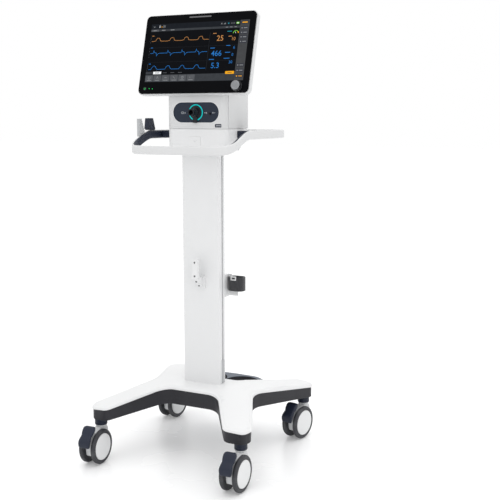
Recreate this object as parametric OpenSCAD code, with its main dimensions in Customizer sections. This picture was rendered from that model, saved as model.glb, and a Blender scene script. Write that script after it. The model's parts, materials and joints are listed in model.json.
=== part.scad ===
// Bedside respiratory monitor on a four-caster stand with a loop handle.
// Millimetres. X is right, Y is back, Z is up. The floor is z = 0.

/* [Base] */
// Half distance between the left and right caster stems
stem_x = 257; // [200:1:300]
// Front caster stem position in front of the origin
stem_front = 217.5; // [150:0.5:260]
// Rear caster stem position behind the origin
stem_rear = 284; // [220:1:330]
// Height of the cover where the column stands
base_top = 232.5; // [200:0.5:260]
// Fall of the cover per mm away from the middle
base_slope = 0.185; // [0.1:0.001:0.3]
// Thickness of the white cover
cover_t = 9; // [6:0.5:14]
// Height of the chassis underside in the middle
chassis_z = 171; // [150:1:190]
// Fall of the underside per mm away from the middle
chassis_slope = 0.12; // [0.05:0.005:0.2]
// Height of the cylinder tray top
tray_top = 196; // [180:1:215]
// Radius of each gas cylinder recess
recess_r = 61; // [50:0.5:72]

/* [Casters] */
// Wheel radius
wheel_r = 57; // [50:0.5:75]
// Outer width over both wheels
caster_w = 64; // [50:1:80]
// Gap between the two wheels
wheel_gap = 29; // [20:0.5:34]
// Axle offset from the stem
trail = 35; // [20:1:45]
// Rest swivel angle of the front left caster
swivel_fl = 2; // [-30:1:30]
// Rest swivel angle of the front right caster
swivel_fr = -1; // [-30:1:30]
// Rest swivel angle of the rear right caster
swivel_rr = -12; // [-30:1:30]
// Rest swivel angle of the rear left caster
swivel_rl = -6; // [-30:1:30]

/* [Column] */
// Column width
col_w = 133.8; // [100:0.2:160]
// Column depth
col_d = 55; // [40:1:80]
// Column front face
col_y = 4.3; // [-10:0.1:20]
// Side slot opening
slot_w = 10; // [6:0.5:14]

/* [Dock and unit] */
// Unit width
unit_w = 220.2; // [180:0.2:260]
// Unit front face
unit_y = -19.7; // [-40:0.1:0]
// Unit rear face
unit_back = 147; // [120:1:180]
// Underside of the dock
dock_z = 1012; // [980:1:1030]
// Seam between dock and unit
seam_z = 1082; // [1060:1:1100]
// Top of the unit
unit_top = 1198; // [1180:1:1220]
// Height of the port centre
port_z = 1134; // [1120:1:1150]

/* [Handle] */
// Half width of the loop handle
handle_x = 188; // [160:1:220]
// Front face of the handle
handle_front = -161; // [-190:1:-120]
// Rear face of the handle
handle_rear = 282; // [240:1:310]
// Top of the front bar
bar_z = 1031; // [1010:1:1050]
// Top of the rear part
arm_z = 1077; // [1050:1:1100]
// Height of the band
band_h = 28; // [20:1:36]

/* [Display] */
// Glass width
glass_w = 397; // [340:1:440]
// Glass height
glass_h = 260; // [220:1:300]
// Backward tilt of the display
tilt = 15.2; // [0:0.1:30]
// Middle of the glass, front to back
glass_y = -13.7; // [-40:0.1:20]
// Middle of the glass, height
glass_z = 1319.5; // [1280:0.5:1350]
// Control knob diameter
knob_d = 31; // [24:1:38]

/* [Hidden] */
$fn = 64;
slope_y = 45;
slope_r = 125;
fit = 0.05;
hinge_y = 42;
hinge_z = 1290;
collar_z = 119.5;
cap_r = 43.5;
pedal_y = 9;
pedal_z = 42;
latch_x = 4.5;

// Rounds every corner of a closed outline. Each point is [x, y, radius].
function unit2(v) = v / norm(v);
function corner(a, b, c) =
    let (u = unit2([a[0] - b[0], a[1] - b[1]]), w = unit2([c[0] - b[0], c[1] - b[1]]))
    let (half = acos(u * w) / 2, m = unit2(u + w), p = [b[0], b[1]])
    let (o = p + m * b[2] / sin(half), s = p + u * b[2] / tan(half), e = p + w * b[2] / tan(half))
    let (a0 = atan2(s[1] - o[1], s[0] - o[0]), a1 = atan2(e[1] - o[1], e[0] - o[0]))
    let (turn = (a1 - a0 + 540) % 360 - 180, n = max(3, ceil(abs(turn) / 12)))
    [for (i = [0:n]) o + b[2] * [cos(a0 + turn * i / n), sin(a0 + turn * i / n)]];
function rounded(pts) = [for (i = [0:len(pts) - 1])
    each corner(pts[(i + len(pts) - 1) % len(pts)], pts[i], pts[(i + 1) % len(pts)])];
function mirrored(half) = concat(half, [for (i = [len(half) - 1:-1:0])
    [-half[i][0], half[i][1], half[i][2]]]);

// A rectangle with round corners, centred.
module rrect(w, h, r) {
    square([w - 2 * r, h], center = true);
    square([w, h - 2 * r], center = true);
    for (x = [-1, 1], y = [-1, 1])
        translate([x * (w / 2 - r), y * (h / 2 - r)])
            circle(r);
}

// Lays a centred flat outline (x, z) upright and grows it backwards from the face at y.
module upright(y, t, z) {
    translate([0, y + t, z])
        rotate([90, 0, 0])
            linear_extrude(t)
                children();
}

// Grows a side outline (y, z) across the width w.
module across(w) {
    translate([-w / 2, 0, 0])
        rotate([90, 0, 90])
            linear_extrude(w)
                children();
}

// ---------------------------------------------------------------- base

function base_half(g) = [
    [102 - g, -74 + g, 60],
    [212 + g, -stem_front - 33 + g, 24],
    [278 - g, -stem_front - 24 + g, 24],
    [290 - g * 1.2, -stem_front + 10, 24],
    [187 - g, 14, 90],
    [293 - g * 1.2, stem_rear - 6, 26],
    [278 - g, stem_rear + 29 - g, 26],
    [226 + g, stem_rear + 27 - g, 22],
    [104 + g, 80 - g, 34]];

module base_plan(g) {
    polygon(rounded(mirrored(base_half(g))));
}

// Slab whose faces both fall away from the middle, the lower one by low_slope.
module slope_slab(top, low, low_slope) {
    reach = 460 - slope_r;
    translate([0, slope_y, 0])
        rotate_extrude($fn = 128)
            polygon([[0, low], [slope_r, low], [460, low - low_slope * reach],
                [460, top - base_slope * reach], [slope_r, top], [0, top]]);
}

module at_stems() {
    for (x = [-1, 1]) {
        translate([x * stem_x, -stem_front, 0])
            children();
        translate([x * stem_x, stem_rear, 0])
            children();
    }
}

module base_cover() {
    color("#f1f2f3")
    difference() {
        intersection() {
            linear_extrude(300)
                base_plan(0);
            slope_slab(base_top, base_top - cover_t, base_slope);
        }
        for (x = [-45, 45], y = [16, 47])
            translate([x, y, 150])
                cylinder(h = 120, r = 4.2);
    }
}

module base_chassis() {
    color("#2b2b31")
    difference() {
        union() {
            intersection() {
                linear_extrude(300)
                    base_plan(2.5);
                slope_slab(base_top - cover_t, chassis_z, chassis_slope);
            }
            at_stems()
                translate([0, 0, 140])
                    cylinder(h = 16, r = 23);
        }
        at_stems()
            translate([0, 0, 130])
                cylinder(h = 42, r = 9);
        at_stems()
            translate([0, 0, 100])
                cylinder(h = 40, r = 24);
        translate([0, 0, 100])
            linear_extrude(tray_top - 99.8)
                tray_plan(-0.4);
        for (x = [-130, 130])
            translate([x, 104, 190])
                cylinder(h = 18, r = 3.1);
        for (x = [-45, 45], y = [16, 47])
            translate([x, y, 150])
                cylinder(h = 120, r = 4.2);
    }
}

module tray_plan(g) {
    polygon(rounded([[-150 + g, 84.5 + g, 6], [150 - g, 84.5 + g, 6], [163 - g, 205 - g, 40],
        [88, 256 - g, 60], [0, 260 - g, 200], [-88, 256 - g, 60], [-163 + g, 205 - g, 40]]));
}

module cylinder_tray() {
    color("#4a5563")
    difference() {
        translate([0, 0, tray_top - 46])
            linear_extrude(46)
                tray_plan(0);
        for (x = [-62, 62])
            translate([x, 182, tray_top - 32])
                cylinder(h = 40, r = recess_r - 0.5);
        for (x = [-130, 130])
            translate([x, 104, tray_top - 60])
                cylinder(h = 80, r = 3.2);
    }
}

module base_screws() {
    color("#8f9499")
    union() {
        for (x = [-45, 45], y = [16, 47])
            translate([x, y, chassis_z - 6]) {
                cylinder(h = 6 - fit, r = 7);
                cylinder(h = 80, r = 4);
            }
        for (x = [-130, 130])
            translate([x, 104, tray_top - 50]) {
                cylinder(h = 4 - fit, r = 5.5);
                cylinder(h = 57, r = 3);
            }
    }
}

module caster_collars() {
    color("#252b3a")
    at_stems()
        difference() {
            union() {
                translate([0, 0, collar_z])
                    rotate_extrude()
                        polygon([[0, 0], [18.5, 0], [20.5, 2], [20.5, 8], [19.2, 8.8], [19.2, 10],
                            [20.5, 10.8], [20.5, 20.5], [0, 20.5]]);
                translate([0, 0, collar_z + 20])
                    cylinder(h = 30, r = 8.9);
            }
            translate([0, 0, collar_z - 1])
                cylinder(h = 30, r = 6 + fit);
        }
}

// ---------------------------------------------------------------- casters

// One caster in its own frame: stem on the z axis, wheels in front at y = -trail.
module fork() {
    inner = wheel_gap / 2 - 1;
    color("#e4e6e8")
    difference() {
        union() {
            across(2 * inner)
                polygon(rounded([[-trail - 40, wheel_r + 4, 15], [-trail - 36, wheel_r - 24, 13],
                    [-trail - 8, 20, 16], [-trail + 20, 24, 16], [-trail + 41, wheel_r - 6, 16],
                    [22, 96, 10], [18, 110, 6], [-20, 114, 8], [-trail - 20, 105, 16]]));
            translate([0, 0, 96])
                rotate_extrude()
                    polygon([[0, 0], [13, 0], [13.4, 2], [13.4, 15.5], [18.6, 19.5], [18.6, 22.6],
                        [18, 23.2], [0, 23.2]]);
            translate([0, 0, 100])
                cylinder(h = collar_z - 80, r = 6);
            translate([-caster_w / 2 + 5, -trail, wheel_r])
                rotate([0, 90, 0])
                    cylinder(h = caster_w - 10, r = 6);
        }
        translate([-40, -trail - pedal_y, wheel_r + pedal_z])
            rotate([0, 90, 0])
                cylinder(h = 80, r = 3 + fit);
        translate([-5, -trail - 60, wheel_r + pedal_z - 12])
            cube([10, 60, 44]);
    }
}

// Rocker pedal wrapped round the front of the wheels, on a pin in the fork.
module pedal() {
    color("#252b3a")
    translate([0, -trail, wheel_r])
        union() {
            difference() {
                across(42)
                    polygon(rounded([[-22, 59.5, 1.5], [-24, 74, 5], [-37, 73.5, 8], [-57, 50, 7],
                        [-68, 38, 8], [-70, 14, 4], [-61, 13, 1.5], [-59.5, 24, 12], [-50, 41, 30],
                        [-35, 55, 24]]));
                rotate([0, 90, 0])
                    cylinder(h = 60, r = wheel_r + 2, center = true, $fn = 96);
            }
            across(9)
                polygon(rounded([[-30, 66, 3], [-40, 54.5, 3], [-14, 34, 4], [-3, 36, 4], [-3, 48, 4],
                    [-14, 52, 6]]));
            translate([-13, -pedal_y, pedal_z])
                rotate([0, 90, 0])
                    cylinder(h = 26, r = 3);
        }
}

// A wheel on the +x side: core and tread in one bonded piece.
module wheel() {
    in = wheel_gap / 2;
    out = caster_w / 2 - 2.5;
    color("#34353c")
    translate([0, -trail, wheel_r])
        rotate([90, 0, 90])
            rotate_extrude($fn = 96)
                polygon([[6 + fit, in], [wheel_r - 4, in], [wheel_r - 1, in + 1.5],
                    [wheel_r, in + 5], [wheel_r, out - 5], [wheel_r - 1.2, out - 1.5],
                    [wheel_r - 4, out], [cap_r + 1.5, out], [cap_r + 0.4, out - 1.2],
                    [cap_r + 0.4, out - 5], [11, out - 5], [11, out - 3.5], [6 + fit, out - 3.5]]);
}

module cap() {
    out = caster_w / 2 - 2.5;
    color("#eceded")
    translate([0, -trail, wheel_r])
        rotate([90, 0, 90])
            rotate_extrude($fn = 96)
                polygon([[0, out - 1.9], [12, out - 1.9], [12, out - 4.9], [cap_r, out - 4.9],
                    [cap_r, out - 0.6], [cap_r - 2, out + 0.4], [cap_r - 13, out + 1.7],
                    [16, out + 2.35], [0, out + 2.5]]);
}

module at_fl() {
    translate([-stem_x, -stem_front, 0])
        rotate([0, 0, swivel_fl])
            children();
}

module at_fr() {
    translate([stem_x, -stem_front, 0])
        rotate([0, 0, swivel_fr])
            children();
}

module at_rl() {
    translate([-stem_x, stem_rear, 0])
        rotate([0, 0, swivel_rl])
            children();
}

module at_rr() {
    translate([stem_x, stem_rear, 0])
        rotate([0, 0, swivel_rr])
            children();
}

module fork_fl() { at_fl() fork(); }
module fork_fr() { at_fr() fork(); }
module fork_rl() { at_rl() fork(); }
module fork_rr() { at_rr() fork(); }
module pedal_fl() { at_fl() pedal(); }
module pedal_fr() { at_fr() pedal(); }
module pedal_rl() { at_rl() pedal(); }
module pedal_rr() { at_rr() pedal(); }
module wheel_fl_right() { at_fl() wheel(); }
module wheel_fr_right() { at_fr() wheel(); }
module wheel_rl_right() { at_rl() wheel(); }
module wheel_rr_right() { at_rr() wheel(); }
module wheel_fl_left() { at_fl() mirror([1, 0, 0]) wheel(); }
module wheel_fr_left() { at_fr() mirror([1, 0, 0]) wheel(); }
module wheel_rl_left() { at_rl() mirror([1, 0, 0]) wheel(); }
module wheel_rr_left() { at_rr() mirror([1, 0, 0]) wheel(); }
module cap_fl_right() { at_fl() cap(); }
module cap_fr_right() { at_fr() cap(); }
module cap_rl_right() { at_rl() cap(); }
module cap_rr_right() { at_rr() cap(); }
module cap_fl_left() { at_fl() mirror([1, 0, 0]) cap(); }
module cap_fr_left() { at_fr() mirror([1, 0, 0]) cap(); }
module cap_rl_left() { at_rl() mirror([1, 0, 0]) cap(); }
module cap_rr_left() { at_rr() mirror([1, 0, 0]) cap(); }

// ---------------------------------------------------------------- column

module column() {
    slot_y = col_y + col_d / 2;
    color("#eef0f1")
    difference() {
        translate([0, 0, base_top])
            linear_extrude(dock_z - base_top)
                difference() {
                    polygon(rounded([[-col_w / 2, col_y, 3], [col_w / 2, col_y, 3],
                        [col_w / 2, col_y + col_d, 16], [-col_w / 2, col_y + col_d, 16]]));
                    for (s = [-1, 1])
                        translate([s * col_w / 2, slot_y]) {
                            square([14, slot_w], center = true);
                            translate([-s * 9, 0])
                                square([6, 20], center = true);
                        }
                    translate([0, slot_y])
                        rrect(78, col_d - 9, 5);
                }
        for (x = [-45, 45], y = [16, 47])
            translate([x, y, base_top - 1])
                cylinder(h = 22, r = 4.1);
    }
}

module slot_covers() {
    slot_y = col_y + col_d / 2;
    color("#9a9ea3")
    for (s = [-1, 1])
        translate([s * (col_w / 2 - 6.5), slot_y, base_top + 1])
            linear_extrude(80)
                union() {
                    translate([s * 3.6, 0])
                        square([7.2, slot_w - 0.6], center = true);
                    translate([s * 7.4, 0])
                        square([1.2, slot_w + 6], center = true);
                }
}

module bracket_block() {
    color("#e9eaeb")
    difference() {
        union() {
            upright(col_y - 8, 8, 580)
                rrect(36, 40, 2.5);
            across(20)
                polygon([[col_y - 7.9, 564], [col_y - 7.9, 598], [col_y - 42, 598],
                    [col_y - 42, 594]]);
        }
        for (z = [567, 593], x = [-14.5, 14.5])
            translate([x, col_y - 20, z])
                rotate([-90, 0, 0])
                    cylinder(h = 30, r = 2.1);
        for (p = [[col_y - 12, 568], [col_y - 31, 584.5]])
            translate([0, p[0], p[1]])
                rotate([-41.4, 0, 0])
                    translate([0, 0, -6])
                        cylinder(h = 17, r = 2.1);
    }
}

module bracket_post() {
    color("#f3f4f5")
    difference() {
        translate([0, 0, 598])
            linear_extrude(59)
                translate([0, col_y - 32.5])
                    rrect(20, 19, 1.6);
        for (z = [604, 649])
            translate([0, col_y - 43, z])
                rotate([-90, 0, 0])
                    cylinder(h = 22, r = 2.1);
        for (x = [-10, 10])
            translate([x, col_y - 26.5, 627])
                cube([3, 4, 70], center = true);
    }
}

module small_screws() {
    color("#7c8085")
    union() {
        for (z = [604, 649])
            translate([0, col_y - 43, z])
                rotate([-90, 0, 0])
                    union() {
                        cylinder(h = 15, r = 2);
                        cylinder(h = 1, r = 3.4);
                    }
        for (z = [567, 593], x = [-14.5, 14.5])
            translate([x, col_y - 9.2, z])
                rotate([-90, 0, 0])
                    union() {
                        cylinder(h = 9, r = 2);
                        cylinder(h = 1.2, r = 3.4);
                    }
        for (x = [-50, 50], y = [-14, 42])
            translate([x, hinge_y + y, unit_top + 0.1]) {
                cylinder(h = 9, r = 2.7);
                translate([0, 0, 7.9])
                    cylinder(h = 2, r = 4.6);
            }
        for (p = [[col_y - 12, 568], [col_y - 31, 584.5]])
            translate([0, p[0], p[1]])
                rotate([-41.4, 0, 0])
                    translate([0, 0, -2.2])
                        union() {
                            cylinder(h = 11, r = 2);
                            cylinder(h = 1.2, r = 3.4);
                        }
    }
}

module strap_bracket() {
    color("#ececed")
    difference() {
        union() {
            translate([36, col_y + col_d, 521])
                cube([24, 33, 76]);
            translate([59, col_y + col_d + 27, 524])
                cube([36, 6, 16]);
            translate([59, col_y + col_d + 27, 591])
                cube([13, 6, 6]);
            translate([66, col_y + col_d + 27, 524])
                cube([6, 6, 73]);
        }
        for (z = [540, 575])
            translate([48, col_y + col_d - 1, z])
                rotate([-90, 0, 0])
                    cylinder(h = 40, r = 3);
    }
}

module strap() {
    color("#3a3b3f")
    translate([90.5, col_y + col_d + 31, 542])
        linear_extrude(47)
            difference() {
                rrect(58, 40, 17);
                rrect(51.4, 33.4, 13.7);
            }
}

module strap_buckle() {
    color("#f4f4f4")
    translate([78, col_y + col_d + 11 - 2.6, 579])
        difference() {
            cube([20, 2.6, 14]);
            translate([4, -1, 4])
                cube([12, 5, 6]);
        }
}

// ---------------------------------------------------------------- handle

// Side outline of the band: low at the front, rising along the arms.
function rise(y) = let (t = min(1, max(0, (y + 156) / 160))) t * t * (3 - 2 * t);
function band_line(z0) = [for (i = [0:24])
    let (y = -175 + 183 * i / 24) [y, z0 + (arm_z - bar_z) * rise(y)]];
function reversed(v) = [for (i = [len(v) - 1:-1:0]) v[i]];

module band_side(top, low) {
    across(500)
        polygon(concat([[-175, low + bar_z]], band_line(bar_z + top), [[320, arm_z + top]],
            [[320, arm_z + low]], reversed(band_line(bar_z + low))));
}

module loop_plan(g) {
    polygon(rounded(mirrored([[handle_x - g, handle_front + g, 76 - g],
        [handle_x - g, handle_rear - g, 32 - g]])));
}

module handle_band() {
    color("#eff0f1")
    intersection() {
        linear_extrude(1300)
            difference() {
                loop_plan(0);
                loop_plan(6);
            }
        band_side(0, -band_h);
    }
}

module handle_liner() {
    color("#252b3a")
    intersection() {
        linear_extrude(1300)
            difference() {
                loop_plan(6);
                loop_plan(15);
                translate([-400, 190])
                    square([800, 300]);
            }
        band_side(-1.6, -band_h + 1.6);
    }
}

module handle_links() {
    color("#252b3a")
    for (s = [-1, 1])
        translate([s * (unit_w / 2 + (handle_x - 15 - unit_w / 2) / 2), 80, arm_z - 26])
            translate([0, 0, 12])
                cube([handle_x - 15 - unit_w / 2, 50, 24], center = true);
}

module hose_jaw_dark() {
    color("#252b3a")
    difference() {
        union() {
            translate([-handle_x + 1, 3, arm_z])
                linear_extrude(5)
                    rrect(16, 42, 4);
            translate([-handle_x + 9, 0, 0])
                rotate([90, 0, -90])
                    linear_extrude(16)
                        polygon(rounded([[20.5, arm_z + 4, 0.5], [-23, arm_z + 4, 0.5],
                            [-10, arm_z + 39, 4], [14, arm_z + 39, 4]]));
        }
        for (i = [0:3])
            translate([-handle_x - 8, -12 + 6.5 * i, arm_z + 9])
                cube([3, 2, 24], center = false);
    }
}

module hose_jaw_light() {
    color("#d4d6d8")
    difference() {
        translate([-handle_x + 7, 0, 0])
            rotate([90, 0, -90])
                linear_extrude(10)
                    polygon([[70, arm_z - 28], [70, arm_z + 37], [56, arm_z + 37], [40, arm_z - 2],
                        [40, arm_z - 28]]);
        intersection() {
            translate([-300, -100, 0])
                cube([200, 200, 1200]);
            band_side(0, -40);
        }
        for (i = [0:3])
            translate([-handle_x + 1, -54.4 + 3.28 * i, arm_z + 33 - 8 * i])
                rotate([0, 90, 0])
                    cylinder(h = 30, r = 2, center = true, $fn = 4);
    }
}

// ---------------------------------------------------------------- dock and unit

module unit_plan(y0, y1, r) {
    polygon(rounded([[-unit_w / 2, y0, r], [unit_w / 2, y0, r], [unit_w / 2, y1, 14],
        [-unit_w / 2, y1, 14]]));
}

module dock_body() {
    color("#e8eaeb")
    difference() {
        translate([0, 0, dock_z])
            linear_extrude(seam_z - dock_z - 0.8)
                unit_plan(unit_y, unit_back - 6, 24);
        upright(unit_y - 1, 11, 1038)
            translate([-latch_x, 0])
                rrect(42.6, 40.6, 4);
        translate([-80, 20, seam_z - 12])
            cube([160, 100, 20]);
        across(300)
            polygon([[62, dock_z - 5], [unit_back, dock_z - 5], [unit_back, 1050], [118, 1050]]);
    }
}

module dock_latch() {
    color("#eceeef")
    translate([-latch_x, 0, 0])
        union() {
            upright(unit_y - 0.6, 4, 1038)
                rrect(42, 40, 3.7);
            upright(unit_y - 1.1, 0.6, 1042)
                rrect(12, 7, 2);
        }
}

module unit_front() {
    color("#eff1f2")
    difference() {
        translate([0, 0, seam_z])
            linear_extrude(unit_top - seam_z)
                intersection() {
                    unit_plan(unit_y, 60, 24);
                    translate([-200, -60])
                        square([400, 56]);
                }
        upright(unit_y - 1, 5, port_z)
            rrect(167, 65, 32.4);
        translate([-unit_w / 2 + 8, unit_y + 9, seam_z + 8])
            cube([unit_w - 16, 40, unit_top - seam_z - 16]);
        for (x = [-60, 60])
            translate([x, unit_y - 1, port_z])
                rotate([-90, 0, 0])
                    cylinder(h = 14, r = 2.6);
    }
}

module unit_rear() {
    color("#edeff0")
    difference() {
        translate([0, 0, seam_z])
            linear_extrude(unit_top - seam_z)
                difference() {
                    unit_plan(-60, unit_back, 14);
                    translate([-200, -90])
                        square([400, 90 - 3.2]);
                }
        translate([-unit_w / 2 + 3, -20, seam_z + 3])
            cube([unit_w - 6, unit_back, unit_top - seam_z - 6]);
        upright(unit_back - 10, 20, 1141)
            rrect(170.6, 86.6, 6);
    }
}

module port_panel() {
    color("#2a3142")
    difference() {
        union() {
            upright(unit_y - 0.8, 4.6, port_z)
                rrect(166, 64, 31.9);
            for (x = [-60, 60])
                translate([x, unit_y + 3, port_z])
                    rotate([-90, 0, 0])
                        cylinder(h = 8, r = 2.5);
        }
        upright(unit_y - 2, 3.4, port_z)
            circle(26);
        upright(unit_y - 3, 8, port_z)
            circle(12);
        upright(unit_y - 3, 8, port_z - 4.5)
            translate([51.7, 0])
                circle(4.1);
    }
}

module port_ring() {
    color("#20c8c8")
    upright(unit_y - 2.0, 3.4, port_z)
        difference() {
            circle(25.8);
            circle(22.4);
        }
}

module patient_port() {
    color("#23262e")
    translate([0, unit_y + 3.6, port_z])
        rotate([90, 0, 0])
            difference() {
                union() {
                    cylinder(h = 6, r = 11.9);
                    translate([0, 0, 2.2])
                        cylinder(h = 4.8, r = 21.9);
                    translate([0, 0, 5])
                        cylinder(h = 14, r = 14);
                    translate([0, 0, 5])
                        cylinder(h = 31, r1 = 11.9, r2 = 11);
                    translate([-8, -33, 6])
                        cube([16, 20, 4]);
                }
                translate([0, 0, 4])
                    cylinder(h = 40, r = 7.5);
            }
}

module sensor_port() {
    color("#1e2128")
    translate([51.7, unit_y + 4, port_z - 4.5])
        rotate([90, 0, 0])
            difference() {
                union() {
                    cylinder(h = 6, r = 4);
                    cylinder(h = 10, r = 3);
                }
                translate([0, 0, 2])
                    cylinder(h = 20, r = 1.4);
            }
}

module rear_panel() {
    color("#c9ccd0")
    difference() {
        upright(unit_back - 9.8, 8, 1141)
            rrect(170, 86, 5.7);
        for (x = [-60, -48, -36, -24, -12, 0])
            translate([x, unit_back, 1158])
                cube([5, 30, 34], center = true);
        upright(unit_back - 12, 20, 1117)
            translate([48, 0])
                rrect(48.4, 28.4, 3);
        for (x = [-52, -18])
            upright(unit_back - 12, 20, 1117)
                translate([x, 0])
                    circle(9);
    }
}

module power_inlet() {
    color("#25272b")
    difference() {
        upright(unit_back - 9.9, 10.9, 1117)
            translate([48, 0])
                rrect(48, 28, 2.8);
        upright(unit_back - 6, 20, 1117)
            translate([42, 0])
                rrect(27, 19, 3);
    }
}

// ---------------------------------------------------------------- display

module hinge_base() {
    color("#d9dcde")
    difference() {
        union() {
            translate([0, hinge_y + 14, unit_top])
                linear_extrude(8)
                    rrect(120, 76, 12);
            for (s = [-1, 1])
                translate([s * 34, 0, 0])
                    across(14)
                        polygon(rounded([[hinge_y - 18, unit_top + 7, 0.5], [hinge_y - 14, hinge_z + 8, 12],
                            [hinge_y + 14, hinge_z + 16, 14], [hinge_y + 18, hinge_z - 12, 10],
                            [hinge_y + 46, unit_top + 7, 0.5]]));
        }
        translate([-60, hinge_y, hinge_z])
            rotate([0, 90, 0])
                cylinder(h = 120, r = 6 + fit);
        for (x = [-50, 50], y = [-14, 42])
            translate([x, hinge_y + y, unit_top - 1])
                cylinder(h = 12, r = 2.8);
    }
}

// Everything on the display is drawn flat, facing -y, then tilted about the glass middle.
module tilted() {
    translate([0, glass_y, glass_z])
        rotate([-tilt, 0, 0])
            children();
}

module hinge_yoke() {
    color("#bfc3c7")
    union() {
        tilted()
            translate([0, 44, -22])
                cube([52, 8, 74], center = true);
        for (s = [-1, 1])
            translate([s * 20, 0, 0])
                across(10)
                    polygon(rounded([[hinge_y - 12, hinge_z - 12, 8], [hinge_y - 16, hinge_z + 20, 3],
                        [hinge_y + 2, hinge_z + 24, 6], [hinge_y + 12, hinge_z, 9],
                        [hinge_y + 2, hinge_z - 13, 8]]));
        translate([-43, hinge_y, hinge_z])
            rotate([0, 90, 0])
                cylinder(h = 86, r = 6);
    }
}

module display_shell() {
    color("#f0f1f2")
    tilted()
        difference() {
            union() {
                upright(2.2, 18, 0)
                    rrect(glass_w + 5, glass_h + 5, 17);
                upright(20, 10, 0)
                    rrect(glass_w - 26, glass_h - 40, 22);
                upright(29, 11, 6)
                    rrect(glass_w - 110, glass_h - 80, 26);
            }
            upright(0, 4.2, 0)
                rrect(glass_w - 12, glass_h - 12, 9);
            translate([159.5, -4, -110])
                rotate([-90, 0, 0])
                    cylinder(h = 18, r = 5 + fit);
            translate([-173.6, -4, -114])
                rotate([-90, 0, 0])
                    cylinder(h = 14, r = 3 + fit);
            for (x = [-90, 90], i = [0:6])
                translate([x, 40, 30 + 7 * i])
                    cube([50, 8, 3], center = true);
        }
}

module display_glass() {
    color("#0d0e11")
    tilted()
        difference() {
            union() {
                upright(-1.8, 4, 0)
                    rrect(glass_w, glass_h, 14.5);
                upright(2, 2.1, 0)
                    rrect(glass_w - 13, glass_h - 13, 8.5);
            }
            translate([159.5, -4, -110])
                rotate([-90, 0, 0])
                    cylinder(h = 18, r = 6);
            translate([-173.6, -4, -114])
                rotate([-90, 0, 0])
                    cylinder(h = 14, r = 6.1);
            upright(-3, 3.2, 119.8)
                rrect(80.4, 4.6, 2.2);
        }
}

module control_knob() {
    color("#a9acb0")
    tilted()
        translate([159.5, -2.2, -110])
            rotate([90, 0, 0])
                union() {
                    rotate_extrude()
                        polygon([[0, 0], [knob_d / 2 - 1, 0], [knob_d / 2, 1.2], [knob_d / 2 - 0.6, 13],
                            [knob_d / 2 - 2.4, 15], [0, 15.4]]);
                    translate([0, 0, -14])
                        cylinder(h = 15, r = 5);
                }
}

module power_button() {
    color("#8a8f8a")
    tilted()
        translate([-173.6, -2.4, -114])
            rotate([90, 0, 0])
                union() {
                    translate([0, 0, -1.6])
                        cylinder(h = 2.6, r = 5.8);
                    translate([0, 0, -8])
                        cylinder(h = 8, r = 3);
                }
}

module alarm_lens() {
    color("#6a6c70")
    tilted()
        upright(-2.1, 2.2, 119.8)
            rrect(80, 4.2, 2);
}

base_chassis();
base_cover();
cylinder_tray();
base_screws();
caster_collars();
fork_fl();
fork_fr();
fork_rl();
fork_rr();
pedal_fl();
pedal_fr();
pedal_rl();
pedal_rr();
wheel_fl_left();
wheel_fl_right();
wheel_fr_left();
wheel_fr_right();
wheel_rl_left();
wheel_rl_right();
wheel_rr_left();
wheel_rr_right();
cap_fl_left();
cap_fl_right();
cap_fr_left();
cap_fr_right();
cap_rl_left();
cap_rl_right();
cap_rr_left();
cap_rr_right();
column();
slot_covers();
bracket_block();
bracket_post();
small_screws();
strap_bracket();
strap();
strap_buckle();
handle_band();
handle_liner();
handle_links();
hose_jaw_dark();
hose_jaw_light();
dock_body();
dock_latch();
unit_front();
unit_rear();
port_panel();
port_ring();
patient_port();
sensor_port();
rear_panel();
power_inlet();
hinge_base();
hinge_yoke();
display_shell();
display_glass();
control_knob();
power_button();
alarm_lens();
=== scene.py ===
"""Looks for the bedside respiratory monitor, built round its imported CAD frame."""

import json
import math

import bmesh
import bpy
from mathutils import Matrix, Vector
from mathutils.geometry import delaunay_2d_cdt


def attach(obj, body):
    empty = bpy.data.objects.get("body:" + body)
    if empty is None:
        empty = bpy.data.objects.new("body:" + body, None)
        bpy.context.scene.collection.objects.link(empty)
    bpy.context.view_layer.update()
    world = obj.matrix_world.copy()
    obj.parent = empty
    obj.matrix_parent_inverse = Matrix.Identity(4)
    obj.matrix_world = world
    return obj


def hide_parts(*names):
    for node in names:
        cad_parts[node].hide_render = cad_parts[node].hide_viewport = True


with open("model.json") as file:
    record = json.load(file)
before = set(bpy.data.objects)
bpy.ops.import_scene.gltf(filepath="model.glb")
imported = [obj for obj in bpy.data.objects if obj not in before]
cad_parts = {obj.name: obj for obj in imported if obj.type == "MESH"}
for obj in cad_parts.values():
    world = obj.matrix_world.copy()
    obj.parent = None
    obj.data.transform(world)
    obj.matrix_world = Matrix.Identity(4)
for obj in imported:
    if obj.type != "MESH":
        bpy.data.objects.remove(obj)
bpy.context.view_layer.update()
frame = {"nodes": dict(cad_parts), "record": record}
MM = 0.001

# Main sizes, in millimetres. Most of them are the CAD's own.
STEM_X, STEM_FRONT, STEM_REAR = 257.0, 217.5, 284.0
BASE_TOP, BASE_SLOPE, SLOPE_R, SLOPE_Y = 232.5, 0.185, 125.0, 45.0
COVER_T, CHASSIS_Z, CHASSIS_SLOPE = 9.0, 171.0, 0.12
WELL_X, WELL_Y, WELL_FLOOR = 62.0, 182.0, 164.2
WHEEL_R, CASTER_W, WHEEL_GAP, TRAIL, CAP_R = 57.0, 64.0, 29.0, 35.0, 43.5
SWIVELS = {"fl": (-STEM_X, -STEM_FRONT, 2), "fr": (STEM_X, -STEM_FRONT, -1),
           "rl": (-STEM_X, STEM_REAR, -6), "rr": (STEM_X, STEM_REAR, -12)}
COL_W, COL_D, COL_Y, SLOT_W = 133.8, 55.0, 4.3, 10.0
POST_SCREW_Z, PLATE_SCREW_X, PLATE_SCREW_Z = (604, 649), (-14.5, 14.5), (567, 593)
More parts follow.
